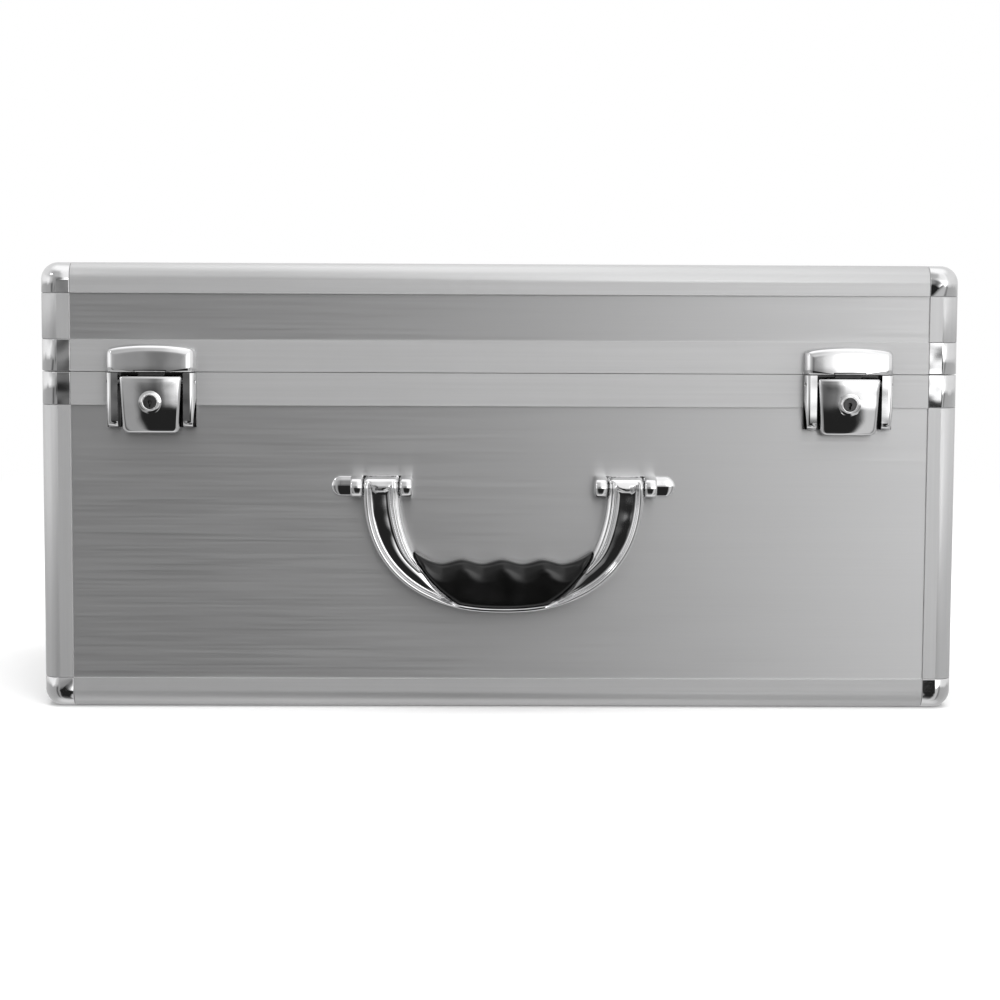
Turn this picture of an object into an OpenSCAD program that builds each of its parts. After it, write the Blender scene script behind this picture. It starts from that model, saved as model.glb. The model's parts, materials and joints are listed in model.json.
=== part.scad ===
// Aluminium poker chip case with a hinged lid, two key latches, a drop handle
// and two lift-out chip trays. Millimetres. The origin is the centre of the
// bottom face, the front faces -Y and +Z is up.

/* [Case] */
// Outside width, left to right
case_w = 530; // [500:1:600]
// Outside depth, front to back
case_d = 240; // [236:1:260]
// Outside height, base and lid together
case_h = 258; // [250:1:290]
// Height of the seam between base and lid
seam_z = 195.5; // [190:0.5:200]

/* [Edge rails] */
// Width of a rail's outer leg
rail_leg = 17.5; // [16:0.5:20]
// Outside radius of a rail
rail_r = 10; // [6:0.5:10.5]
// Thickness of a rail's outer leg
rail_lip = 1.3; // [1:0.1:1.6]
// Height of the base's closure rail
base_closure_h = 19.2; // [18:0.1:21]
// Height of the lid's closure rail
lid_closure_h = 18.5; // [18:0.1:20]

/* [Walls] */
// Thickness of an aluminium skin
skin_t = 0.8; // [0.6:0.1:1]
// Thickness of the fibreboard behind a skin
board_t = 4; // [3:0.5:4.5]
// Thickness of the black lining
lining_t = 2.4; // [1.5:0.1:2.6]
// Thickness of the foam pad on the floor
floor_pad_t = 5.6; // [3:0.1:8]
// Thickness of the foam in the lid
lid_foam_t = 26; // [20:1:28]

/* [Handle] */
// Height of the handle's pivot axis
handle_z = 130; // [120:1:145]
// Sideways place of the handle
handle_x = 2; // [-10:0.5:10]
// Half width of the bow's outer outline
bow_a = 80.5; // [75:0.1:90]
// Drop of the bow's outer outline
bow_b = 72; // [65:0.5:85]
// Width of an arm at the pivot
arm_w = 20.4; // [18:0.1:21]
// Thickness of the bow, front to back
bow_t = 12.5; // [10:0.5:12.5]
// Half width of the grip
grip_half_w = 51.5; // [48:0.5:53]
// Thickness of the grip, front to back
grip_t = 16; // [13:0.5:16.5]
// Distance between finger scallops
finger_pitch = 23.4; // [20:0.1:25]

/* [Latches] */
// Distance of a latch from the case's middle
latch_x = 200.5; // [180:0.5:215]
// Width of a latch over its cheeks
latch_w = 51; // [48:0.5:52]
// Depth of the lever's front face in front of the rail
latch_d = 10; // [9.5:0.1:11]
// Height of the cap on the lid
cap_h = 15.9; // [14:0.1:16]
// Height of the housing on the base
housing_h = 31.7; // [28:0.1:32]
// Height of the lever
lever_h = 33.3; // [31:0.1:35]
// Depth of the lock's centre below the seam
lock_drop = 17; // [16.5:0.1:18.5]

/* [Hinges and feet] */
// Distance of a hinge from the case's middle
hinge_x = 165; // [120:1:200]
// Width of a hinge
hinge_w = 52; // [46:1:60]
// Angle at which the lid stops
lid_open = 100; // [90:1:105]
// Height of a foot on the back
foot_h = 17; // [15:0.5:20]

/* [Chip trays] */
// Width of a channel for a row of chips
channel_w = 41.4; // [40.5:0.1:41.6]
// Length of a channel, for one hundred chips
channel_len = 350; // [340:1:350]
// Number of channels in a tray
channels = 5; // [5]
// Height of a tray
tray_h = 46; // [44:0.5:48]

/* [Hidden] */
$fn = 64;
gap = 0.1;            // between pieces that only meet
play = 0.05;          // radial clearance of a running pivot
press = 0.02;         // radial clearance of a fixed pin, rivet or screw
eps = 0.01;
big = 1000;

// Wall build-up, as depths from the outside face
skin_d = rail_lip;
board_d = skin_d + skin_t;
inner_d = board_d + board_t;
lining_d = inner_d + gap;
room_d = lining_d + lining_t;
core = 11;            // width of a rail's core, where a panel's edge stops
seam_gap = 0.2;       // half the gap between base and lid
base_top = seam_z - seam_gap;
lid_bottom = seam_z + seam_gap;
closure_core = 10.3;  // height of the closure rails' full-thickness part
base_wall_top = base_top - closure_core - gap;
lid_wall_bottom = lid_bottom + closure_core + gap;
base_closure_z = seam_z - base_closure_h;
lid_closure_z = seam_z + lid_closure_h;
tongue_t = 1.8;       // tongue and groove that guide the lid shut
tongue_h = 2.4;
tongue_d = 3.6;
groove_play = 0.7;
room_w = case_w - 2 * room_d;
room_depth = case_d - 2 * room_d;

// Latch, as distances from the rail's face and from the latch's middle
cheek_w = 6.8;
cheek_x = latch_w / 2 - cheek_w;
housing_t = 1.2;
cheek_d = 8.6;
cheek_taper = 1.5;
housing_top = base_top - gap;
housing_bottom = seam_z - housing_h;
lever_top = seam_z - 1.9;
lever_bottom = lever_top - lever_h;
lever_t = 1.6;
lever_half_top = cheek_x - 0.6;
lever_half_bottom = lever_half_top - 2;
lever_pivot_d = 6;
lever_pivot_z = lever_top - 3.4;
pivot_r = 1.5;
lock_z = seam_z - lock_drop;
barrel_r = 5.5;
barrel_back_d = 2.9;
collar_r = 6.5;
collar_t = 1.3;
plug_r = 3.6;
cam_len = 9.5;
cam_w = 5;
cam_t = 1.1;
keeper_x = 10.3;
keeper_d = 4.4;
keeper_t = 1.2;
keeper_len = 4;
keeper_h = 6;
cap_d = 9.6;
cap_wall = 1.4;
cap_z = lid_bottom + 0.2;
tongue_half_w = 7.5;
strike_d = 1.5;
strike_t = 1.2;
strike_bottom = seam_z - 11;
lug_d = strike_d + strike_t + 0.5;
rivet_r = 1.6;
rivet_head_r = 2.6;
rivet_head_t = 0.8;
housing_rivet_x = 12.5;
housing_rivet_z = [seam_z - 5, housing_bottom + 3.3];
strike_rivet_x = 4.6;
strike_rivet_z = seam_z + 6.5;
cap_screw_x = 16;
cap_screw_z = seam_z + 7;
cap_screw_r = 1.5;

// Handle, with depths measured from the front panel's face
panel_y = case_d / 2 - skin_d;
handle_out = 9;
handle_y = -(panel_y + handle_out);
handle_pin_r = 2;
bow_power = 2.32;     // fullness of the bow's outline; 2 is an ellipse
bow_band = 2.8;       // least width of the bow, under the grip
inner_a = bow_a - arm_w;
inner_b = bow_b + 1.7;
finger_drop = 42.8;   // mean drop of the finger scallops, and their height
finger_rise = 1.2;
tip_rise = 7.1;       // rise of the grip's tips over the end scallops
boss_r = 6.4;
ear_w = 6.9;
ear_r = 6.3;
ear_gap = 0.6;
plate_t = 2;
stud_reach = 1.4;     // depth of a bracket's blind rivet in its plate
tab_len = 11.5;
bracket_in = inner_a - ear_gap - ear_w;
bracket_out = bow_a + ear_gap + ear_w;
bracket_rivets = [bracket_out + tab_len / 2, (inner_a + bow_a) / 2];

// Hinges
hinge_out = 4;
hinge_y = case_d / 2 + hinge_out;
knuckle_r = 3.2;
hinge_pin_r = 2;
heel_reach = 9;
heel_t = 2;
leaf_t = 1.5;
leaf_h = 16.8;
leaf_cut = 3.5;
mid_knuckle = 19;
heel_w = mid_knuckle - 1;
hinge_rivet_dx = 18;
hinge_rivet_dz = 7.6;

// Feet
foot_r = 9;
foot_x = 215;
foot_z = [45, 140];
foot_screw_r = 2;

// Trays and the compartment under them
tray_side = 1.3;
tray_w = room_w - 2 * tray_side;
tray_depth = room_depth - 2 * tray_side;
tray_wall = 2.5;
tray_gap = 1;
upper_tray_z = base_top - tray_h - 4.3;
lower_tray_z = upper_tray_z - tray_h - tray_gap;
pad_top = inner_d + gap + floor_pad_t;
divider_t = 4;
divider_top = lower_tray_z - gap;
divider_x = 90;
channel_r = channel_w / 2;
channel_pitch = (tray_depth - channel_w - 2 * (tray_depth - channels * channel_w)
                 / (channels + 1)) / (channels - 1);
channel_x0 = -tray_w / 2 + tray_wall;
bay_x0 = channel_x0 + channel_len + tray_wall;
bay_len = tray_w / 2 - tray_wall - bay_x0;
notch_r = 15;

alu = [0.78, 0.79, 0.8];
satin = [0.86, 0.87, 0.88];
chrome = [0.7, 0.73, 0.76];
rubber = [0.06, 0.06, 0.07];
lining = [0.13, 0.13, 0.14];
board = [0.55, 0.42, 0.28];

// ---------------------------------------------------------------- helpers

// Points of an elliptical arc round c
function arc(c, a, b, from, to, n = 12) =
  [for (i = [0:n]) let (t = from + (to - from) * i / n) [c[0] + a * cos(t), c[1] + b * sin(t)]];

// A square with its corner at the origin rounded
module round_corner_square(leg, r) {
  difference() {
    square(leg);
    difference() {
      translate([-1, -1]) square(r + 1);
      translate([r, r]) circle(r);
      translate([r, -2]) square([big, big]);
      translate([-2, r]) square([big, big]);
    }
  }
}

// Section of a rail: the outer corner is at the origin and both legs run inwards
module rail_section() {
  intersection() {
    round_corner_square(rail_leg, rail_r);
    union() {
      square([rail_leg, rail_lip]);
      square([rail_lip, rail_leg]);
      square([core, inner_d]);
      square([inner_d, core]);
    }
  }
}

// Draws children at each vertical edge of the case, with +X and +Y pointing inwards
module at_corners() {
  for (sx = [0, 1], sy = [0, 1])
    mirror([sx, 0, 0]) mirror([0, sy, 0]) translate([-case_w / 2, -case_d / 2, 0]) children();
}

// Draws children, made for the bottom of the base, at the top of the lid
module on_top() translate([0, 0, case_h]) mirror([0, 0, 1]) children();

// Moves children to the front rail's face, or to the back one
module on_front() translate([0, -case_d / 2, 0]) children();
module on_back() mirror([0, 1, 0]) on_front() children();

// Draws children at the left latch and at the right one
module at_latches() for (s = [-1, 1]) translate([s * latch_x, 0, 0]) on_front() children();

// Extrudes an X-Z outline outwards, from distance d0 to d1
module outwards(d0, d1) translate([0, -d0, 0]) rotate([90, 0, 0]) linear_extrude(d1 - d0) children();

// A round bar that runs outwards at [x, z]
module peg(x, z, r, d0, d1) translate([x, -d0, z]) rotate([90, 0, 0]) cylinder(r = r, h = d1 - d0);

// A round bar along X from x0 to x1, at [y, z]
module rod(y, z, r, x0, x1) translate([x0, y, z]) rotate([0, 90, 0]) cylinder(r = r, h = x1 - x0);

// A rivet with its head outside
module rivet(x, z, head_d, end_d) {
  peg(x, z, rivet_r, end_d, head_d + eps);
  peg(x, z, rivet_head_r, head_d, head_d + rivet_head_t);
}

// ---------------------------------------------------------------- shell

// Four rails round the bottom edge, one section for all
module edge_rails() {
  x_len = case_w - 2 * (rail_leg + gap);
  y_len = case_d - 2 * (rail_leg + gap);
  for (s = [0, 1]) {
    mirror([0, s, 0]) translate([-x_len / 2, -case_d / 2, 0])
      rotate([90, 0, 90]) linear_extrude(x_len) rail_section();
    mirror([s, 0, 0]) translate([-case_w / 2, y_len / 2, 0])
      rotate([90, 0, 0]) linear_extrude(y_len) rail_section();
  }
}

// A cube with its corner at the origin and the three edges that meet there rounded, with a ball corner
module ball_corner_cube(leg, r) {
  translate([r, r, r]) {
    rotate([0, 0, -45]) rotate([0, -90, 0]) sphere(r);
    cylinder(r = r, h = leg - r);
    rotate([0, 90, 0]) cylinder(r = r, h = leg - r);
    rotate([-90, 0, 0]) cylinder(r = r, h = leg - r);
  }
  translate([r, r, 0]) cube([leg - r, leg - r, leg]);
  translate([r, 0, r]) cube([leg - r, leg, leg - r]);
  translate([0, r, r]) cube([leg, leg - r, leg - r]);
}

// Four corner pieces, rounded in all three directions and slotted for the panels
module edge_corners() {
  at_corners() difference() {
    intersection() {
      cube(rail_leg);
      ball_corner_cube(rail_leg, rail_r);
    }
    translate([inner_d, inner_d, inner_d]) cube(rail_leg);
    translate([core, skin_d, core]) cube(rail_leg);
    translate([core, core, skin_d]) cube(rail_leg);
    translate([skin_d, core, core]) cube(rail_leg);
  }
}

// Four posts between two heights
module posts(z0, z1) at_corners() translate([0, 0, z0]) linear_extrude(z1 - z0) rail_section();

// Section of the base's closure rail: X is the depth into the wall and Y is up from its foot
module base_closure_section() {
  square([rail_lip, base_top - base_closure_z]);
  translate([0, base_wall_top + gap - base_closure_z]) square([room_d, closure_core]);
  translate([tongue_d, base_top - base_closure_z - eps]) square([tongue_t, tongue_h + eps]);
}

// Section of the lid's closure rail, with Y up from the seam
module lid_closure_section() {
  difference() {
    union() {
      square([rail_lip, lid_closure_z - lid_bottom]);
      square([room_d, closure_core]);
    }
    translate([tongue_d - groove_play, -1])
      square([tongue_t + 2 * groove_play, 1 + tongue_h + groove_play]);
  }
}

// Four straight closure rails between the corners
module closure_rails(z0) {
  x_len = case_w - 2 * (rail_leg + gap);
  y_len = case_d - 2 * (rail_leg + gap);
  for (s = [0, 1]) {
    mirror([0, s, 0]) translate([-x_len / 2, -case_d / 2, z0])
      rotate([90, 0, 90]) linear_extrude(x_len) children();
    mirror([s, 0, 0]) translate([-case_w / 2, y_len / 2, z0])
      rotate([90, 0, 0]) linear_extrude(y_len) children();
  }
}

// Plan of a closure corner's full-thickness part
module closure_corner_plan() {
  difference() {
    round_corner_square(rail_leg, rail_r);
    translate([room_d, room_d]) square(rail_leg);
  }
}

// A wall sheet in the X-Z plane, between two depths, on the front
module front_sheet(d0, d1, z0, z1)
  on_front() translate([core + gap - case_w / 2, d0, z0])
    cube([case_w - 2 * (core + gap), d1 - d0, z1 - z0]);

// The same on the left
module left_sheet(d0, d1, z0, z1)
  translate([d0 - case_w / 2, core + gap - case_d / 2, z0])
    cube([d1 - d0, case_d - 2 * (core + gap), z1 - z0]);

// A horizontal sheet that closes the bottom
module bottom_sheet(d0, d1)
  translate([core + gap - case_w / 2, core + gap - case_d / 2, d0])
    cube([case_w - 2 * (core + gap), case_d - 2 * (core + gap), d1 - d0]);

module front_holes() {
  at_latches() for (sx = [-1, 1], z = housing_rivet_z)
    peg(sx * housing_rivet_x, z, rivet_r + press, -12, 1);
  for (sx = [-1, 1], x = bracket_rivets)
    on_front() peg(handle_x + sx * x, handle_z, rivet_r + press, -12, 1);
}

module back_holes() {
  for (sx = [-1, 1]) {
    for (dx = [-1, 1])
      on_back() peg(sx * hinge_x + dx * hinge_rivet_dx, seam_z - hinge_rivet_dz,
                    rivet_r + press, -12, 1);
    for (z = foot_z) on_back() peg(sx * foot_x, z, foot_screw_r + press, -12, 1);
  }
}

module lid_holes() {
  at_latches() for (sx = [-1, 1]) {
    peg(sx * strike_rivet_x, strike_rivet_z, rivet_r + press, -12, 1);
    peg(sx * cap_screw_x, cap_screw_z, cap_screw_r + press, -12, 1);
    peg(sx * cap_screw_x, cap_screw_z, 2 * cap_screw_r + press, -12, 1.3 - room_d);
  }
  for (sx = [-1, 1], dx = [-1, 1])
    on_back() peg(sx * hinge_x + dx * hinge_rivet_dx, seam_z + hinge_rivet_dz,
                  rivet_r + press, -12, 1);
}

wall_z0 = core + gap;
lid_wall_top = case_h - core - gap;

module base_front_panel() color(alu) difference() {
  front_sheet(skin_d, board_d, wall_z0, base_wall_top);
  front_holes();
}

module base_back_panel() color(alu) difference() {
  mirror([0, 1, 0]) front_sheet(skin_d, board_d, wall_z0, base_wall_top);
  back_holes();
}

module base_left_panel() color(alu) left_sheet(skin_d, board_d, wall_z0, base_wall_top);

module base_right_panel() color(alu) mirror([1, 0, 0]) base_left_panel();

module base_floor_panel() color(alu) bottom_sheet(skin_d, board_d);

module base_boards() color(board) {
  difference() {
    front_sheet(board_d, inner_d, wall_z0, base_wall_top);
    front_holes();
  }
  difference() {
    mirror([0, 1, 0]) front_sheet(board_d, inner_d, wall_z0, base_wall_top);
    back_holes();
  }
  for (s = [0, 1]) mirror([s, 0, 0]) left_sheet(board_d, inner_d, wall_z0, base_wall_top);
  bottom_sheet(board_d, inner_d);
}

module base_corner_posts() color(satin) posts(rail_leg + gap, base_closure_z - gap);

module base_bottom_rails() color(satin) edge_rails();

module base_closure_rails() color(satin) difference() {
  closure_rails(base_closure_z) base_closure_section();
  front_holes();
  back_holes();
}

module base_bottom_corners() color(chrome) edge_corners();

module base_closure_corners() color(chrome) {
  posts(base_closure_z, base_wall_top + gap);
  at_corners() translate([0, 0, base_wall_top + gap - eps])
    linear_extrude(closure_core + eps) closure_corner_plan();
}

module base_wall_lining() color(lining) {
  z0 = inner_d + gap;
  for (s = [0, 1]) {
    mirror([0, s, 0]) translate([lining_d - case_w / 2, lining_d - case_d / 2, z0])
      cube([case_w - 2 * lining_d, lining_t, base_wall_top - z0]);
    mirror([s, 0, 0]) translate([lining_d - case_w / 2, room_d + gap - case_d / 2, z0])
      cube([lining_t, case_d - 2 * (room_d + gap), base_wall_top - z0]);
  }
}

module floor_pad() color(lining)
  translate([gap - room_w / 2, gap - room_depth / 2, inner_d + gap])
    cube([room_w - 2 * gap, room_depth - 2 * gap, floor_pad_t]);

module compartment_dividers() color(lining) {
  z0 = pad_top + gap;
  for (x = [-1, 1] * divider_x)
    translate([x - divider_t / 2, 0.5 - room_depth / 2, z0])
      cube([divider_t, room_depth - 1, divider_top - z0]);
  for (s = [0, 1]) mirror([s, 0, 0])
    translate([0.5 - room_w / 2, 0.5 - room_depth / 2, z0])
      cube([divider_t, room_depth - 1, divider_top - z0]);
}

module back_feet() color(rubber)
  for (sx = [-1, 1], z = foot_z) on_back() translate([sx * foot_x, skin_d, z])
    rotate([90, 0, 0]) difference() {
      union() {
        cylinder(r = foot_r, h = foot_h - 2);
        translate([0, 0, foot_h - 2 - eps]) cylinder(r1 = foot_r, r2 = foot_r - 2, h = 2 + eps);
      }
      translate([0, 0, -1]) cylinder(r = foot_screw_r + press, h = foot_h + 2);
      translate([0, 0, 4]) cylinder(r = 4.5, h = foot_h);
    }

module foot_screws() color(chrome)
  for (sx = [-1, 1], z = foot_z) on_back() difference() {
    union() {
      peg(sx * foot_x, z, foot_screw_r, -inner_d, 4 - skin_d + eps);
      peg(sx * foot_x, z, 3.8, 4 - skin_d, 6 - skin_d);
    }
    translate([sx * foot_x, skin_d - 6, z]) {
      cube([5, 1.6, 1], center = true);
      cube([1, 1.6, 5], center = true);
    }
  }

// ---------------------------------------------------------------- handle

// Draws children for both brackets; a child is drawn on the right, out from the panel's face
module at_brackets()
  translate([handle_x, -panel_y, 0]) for (s = [0, 1]) mirror([s, 0, 0]) children();

module handle_brackets() color(chrome) at_brackets() difference() {
  union() {
    outwards(0, plate_t) union() {
      translate([bracket_in, handle_z - ear_r]) square([bracket_out - bracket_in, 2 * ear_r]);
      translate([bracket_out - 1, handle_z - tab_len / 2]) square([tab_len / 2 + 1, tab_len]);
      translate([bracket_out + tab_len / 2, handle_z]) circle(tab_len / 2);
    }
    for (x = [bracket_in, bracket_out - ear_w]) {
      rod(-handle_out, handle_z, ear_r, x, x + ear_w);
      translate([x, -handle_out, handle_z - ear_r]) cube([ear_w, handle_out, 2 * ear_r]);
    }
  }
  rod(-handle_out, handle_z, handle_pin_r + press, bracket_in - 1, bracket_out + 1);
  for (x = bracket_rivets) peg(x, handle_z, rivet_r + press, -1, stud_reach + press);
}

// Blind rivets driven from inside, so nothing shows on the brackets
module handle_bracket_rivets() color(chrome) at_brackets() for (x = bracket_rivets)
  peg(x, handle_z, rivet_r, skin_d - inner_d, stud_reach);

module handle_pins() color(chrome) at_brackets()
  rod(-handle_out, handle_z, handle_pin_r, bracket_in, bracket_out);

// Drop of the bow's outer outline below the pivot at x, and of its inner one
function bow_drop(x) = bow_b * pow(1 - pow(min(1, abs(x) / bow_a), bow_power), 1 / bow_power);
function inner_drop(x) = min(inner_b * sqrt(max(0, 1 - pow(x / inner_a, 2))), bow_drop(x) - bow_band);

bow_steps = 72;
bow_outer = [for (i = [0:bow_steps]) let (t = 180 * i / bow_steps)
  [-bow_a * sign(cos(t)) * pow(abs(cos(t)), 2 / bow_power), -bow_b * pow(sin(t), 2 / bow_power)]];
bow_inner = [for (i = [0:bow_steps]) let (x = inner_a * cos(180 * i / bow_steps)) [x, -inner_drop(x)]];

module handle_bow() color(chrome) translate([handle_x, handle_y, handle_z]) difference() {
  union() {
    outwards(-bow_t / 2, bow_t / 2) polygon(concat(bow_outer, bow_inner));
    for (s = [0, 1]) mirror([s, 0, 0]) rod(0, 0, boss_r, inner_a, bow_a);
  }
  rod(0, 0, handle_pin_r + play, -big, big);
}

// Height of the grip's top edge at x: three ridges between four finger scallops, and a tip at each end
function grip_top(x) =
  let (end = 1.5 * finger_pitch)
  abs(x) <= end
    ? -finger_drop - finger_rise * cos(360 * (abs(x) - finger_pitch / 2) / finger_pitch)
    : tip_rise * pow((abs(x) - end) / (grip_half_w - end), 1.6) - finger_drop - finger_rise;
function grip_bottom(x) = gap - inner_drop(x);

grip_steps = 26;
grip_xs = [for (i = [-grip_steps:grip_steps]) grip_half_w * i / grip_steps];

module handle_grip() color(rubber) translate([handle_x, handle_y, handle_z])
  outwards(-grip_t / 2, grip_t / 2) polygon(concat(
    [for (x = grip_xs) [x, max(grip_top(x), grip_bottom(x) + 0.5)]],
    [for (x = grip_xs) [-x, grip_bottom(x)]]
  ));

// ---------------------------------------------------------------- latches

// A cheek from the front, narrower towards its foot
cheek_outline = [
  [cheek_x, housing_top], [latch_w / 2, housing_top], [latch_w / 2, lock_z + 2],
  [latch_w / 2 - cheek_taper, housing_bottom], [cheek_x, housing_bottom]
];

module latch_housings() color(chrome) at_latches() difference() {
  union() {
    outwards(0, housing_t) translate([-latch_w / 2, housing_bottom])
      square([latch_w, housing_top - housing_bottom]);
    outwards(-skin_d, eps) translate([-latch_w / 2, housing_bottom])
      square([latch_w, base_closure_z - gap - housing_bottom]);
    for (s = [0, 1]) mirror([s, 0, 0]) intersection() {
      translate([cheek_x, 0, housing_top]) mirror([0, 0, 1])
        linear_extrude(housing_top - housing_bottom) mirror([0, 1, 0])
          translate([cheek_w, cheek_d]) rotate(180) round_corner_square(20, 3);
      translate([cheek_x, -cheek_d, housing_bottom]) rotate([90, 0, 90])
        linear_extrude(cheek_w) round_corner_square(cheek_d + big, 4);
      outwards(0, cheek_d) polygon(cheek_outline);
    }
    // Keeper that the lock's cam turns behind
    translate([keeper_x, -keeper_d, lock_z - keeper_h / 2])
      cube([keeper_t, keeper_d - housing_t + eps, keeper_h]);
    translate([keeper_x + keeper_t - keeper_len, -keeper_d, lock_z - keeper_h / 2])
      cube([keeper_len, keeper_t, keeper_h]);
  }
  for (sx = [-1, 1], z = housing_rivet_z)
    peg(sx * housing_rivet_x, z, rivet_r + press, -5, housing_t + 1);
  rod(-lever_pivot_d, lever_pivot_z, pivot_r + press, -latch_w, latch_w);
}

module latch_rivets() color(chrome) at_latches()
  for (sx = [-1, 1], z = housing_rivet_z) rivet(sx * housing_rivet_x, z, housing_t, -inner_d);

module lever_pins() color(chrome) at_latches() for (s = [0, 1]) mirror([s, 0, 0])
  rod(-lever_pivot_d, lever_pivot_z, pivot_r, 12.2, latch_w / 2 - 0.4);

module latch_lever(side) color(chrome) translate([side * latch_x, 0, 0]) on_front() difference() {
  union() {
    outwards(latch_d - lever_t, latch_d) polygon(concat(
      [[lever_half_top, lever_top], [-lever_half_top, lever_top]],
      arc([3 - lever_half_bottom, lever_bottom + 3], 3, 3, 180, 270, 6),
      arc([lever_half_bottom - 3, lever_bottom + 3], 3, 3, 270, 360, 6)
    ));
    for (s = [0, 1]) mirror([s, 0, 0]) {
      translate([lever_half_top - 1.4, -latch_d + eps, lever_pivot_z - 3])
        cube([1.4, latch_d - lever_pivot_d, lever_top - lever_pivot_z + 3]);
      rod(-lever_pivot_d, lever_pivot_z, 3.2, lever_half_top - 1.4, lever_half_top);
    }
    // Lug that holds the strike tongue down
    translate([-4.5, -latch_d + lever_t - eps, lever_pivot_z - 2.6])
      cube([9, latch_d - lever_t - lug_d, 2.4]);
  }
  rod(-lever_pivot_d, lever_pivot_z, pivot_r + play, -latch_w, latch_w);
  peg(0, lock_z, barrel_r + press, -1, latch_d + 1);
  // The lever's front top edge is eased, so that it clears the cap as it turns
  translate([-big / 2, -latch_d, lever_top]) rotate([45, 0, 0])
    cube([big, 1.4, 1.4], center = true);
}

module lock_barrel(side) color(chrome) translate([side * latch_x, 0, 0]) on_front() difference() {
  union() {
    peg(0, lock_z, barrel_r, barrel_back_d, latch_d + eps);
    peg(0, lock_z, collar_r, latch_d, latch_d + collar_t);
  }
  peg(0, lock_z, plug_r + play, 0, latch_d + collar_t + 1);
}

// Keyed plug with the cam on its back end; the cam hangs down when the lock is open
module lock_plug(side) color(chrome) translate([side * latch_x, 0, 0]) on_front() {
  difference() {
    peg(0, lock_z, plug_r, barrel_back_d - 1.3, latch_d + collar_t - 0.5);
    peg(0, lock_z, 1.2, latch_d - 3, latch_d + collar_t + 1);
    translate([-0.6, -latch_d - collar_t - 1, lock_z - 2.8]) cube([1.2, 5.3, 2.8]);
  }
  outwards(barrel_back_d - 1.3, barrel_back_d - 1.3 + cam_t) union() {
    translate([-cam_w / 2, lock_z + cam_w / 2 - cam_len])
      square([cam_w, cam_len - cam_w / 2]);
    translate([0, lock_z + cam_w / 2 - cam_len]) circle(cam_w / 2);
  }
}

// Return spring round the pivot pin: three turns and a leg against the lever
module lever_spring(side) color(chrome) translate([side * latch_x, 0, 0]) on_front() {
  for (i = [0:2]) translate([12.5 + 0.9 * i, -lever_pivot_d, lever_pivot_z])
    rotate([0, 90, 0]) rotate_extrude() translate([2, 0]) circle(0.35);
  translate([12.2, -lever_pivot_d - 2.3, lever_pivot_z - 8]) cube([0.6, 0.6, 8]);
}

// Outline of a cap seen from the front: flat bottom, arched top, rounded corners
function cap_outline(w, h, r) =
  let (rise = 2.2, big_r = (w * w / 4 + rise * rise) / (2 * rise), span = asin((w / 2 - r) / big_r))
  concat(
    [[w / 2, 0]],
    arc([w / 2 - r, h - rise - r + 0.3], r, r, 0, 84, 8),
    arc([0, h - big_r], big_r, big_r, 90 - span + 1, 90 + span - 1, 16),
    arc([r - w / 2, h - rise - r + 0.3], r, r, 96, 180, 8),
    [[-w / 2, 0]]
  );

// A domed block: the outline, with its front edges rounded from above and from the side
module cap_block(w, h, d, r) {
  intersection() {
    outwards(0, d) polygon(cap_outline(w, h, 3.5));
    translate([-w / 2, 0, h]) mirror([0, 0, 1]) translate([0, -d, 0]) rotate([90, 0, 90])
      linear_extrude(w) round_corner_square(h + d, r);
    for (s = [0, 1]) side_rounding(s, w, h, d, r);
  }
}

// One side of the block in plan, with its front corner rounded
module side_rounding(s, w, h, d, r)
  mirror([s, 0, 0]) translate([-w / 2, -d, -1]) linear_extrude(h + 2)
    round_corner_square(w / 2 + d + eps, r);

module latch_caps() color(chrome) at_latches() translate([0, 0, cap_z]) difference() {
  union() {
    difference() {
      cap_block(latch_w, cap_h, cap_d, 4);
      translate([0, 0, -eps])
        cap_block(latch_w - 2 * cap_wall, cap_h - cap_wall, cap_d - cap_wall, 3);
    }
    for (sx = [-1, 1])
      peg(sx * cap_screw_x, cap_screw_z - cap_z, 3, 0, cap_d - cap_wall + 0.3);
  }
  for (sx = [-1, 1])
    peg(sx * cap_screw_x, cap_screw_z - cap_z, cap_screw_r + press, -1, 6);
}

// Screws driven from inside the lid
module cap_screws() color(chrome) at_latches() for (sx = [-1, 1]) {
  peg(sx * cap_screw_x, cap_screw_z, cap_screw_r, 1.3 - room_d - eps, 5.8);
  peg(sx * cap_screw_x, cap_screw_z, 2 * cap_screw_r, 0.1 - room_d, 1.3 - room_d);
}

// Bent plate that hangs from the lid behind the lever, with a window for the lug
module strike_tongues() color(chrome) at_latches() difference() {
  union() {
    translate([-tongue_half_w, -strike_t, lid_bottom + 1])
      cube([2 * tongue_half_w, strike_t, cap_h - 3.5]);
    translate([-tongue_half_w, -strike_d - strike_t, lid_bottom + 1])
      cube([2 * tongue_half_w, strike_d + strike_t, strike_t]);
    translate([-tongue_half_w, -strike_d - strike_t, strike_bottom])
      cube([2 * tongue_half_w, strike_t, lid_bottom + 1 + strike_t - strike_bottom]);
  }
  translate([-5, -strike_d - strike_t - 1, strike_bottom + 2])
    cube([10, strike_t + 2, 4.5]);
  for (sx = [-1, 1])
    peg(sx * strike_rivet_x, strike_rivet_z, rivet_r + press, -1, strike_t + 1);
}

module strike_rivets() color(chrome) at_latches() for (sx = [-1, 1])
  rivet(sx * strike_rivet_x, strike_rivet_z, strike_t, -room_d);

// ---------------------------------------------------------------- hinges

// Draws children at both hinges, with the origin on the hinge axis and +Y away from the case
module at_hinges() for (s = [-1, 1]) translate([s * hinge_x, hinge_y, seam_z]) children();

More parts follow.
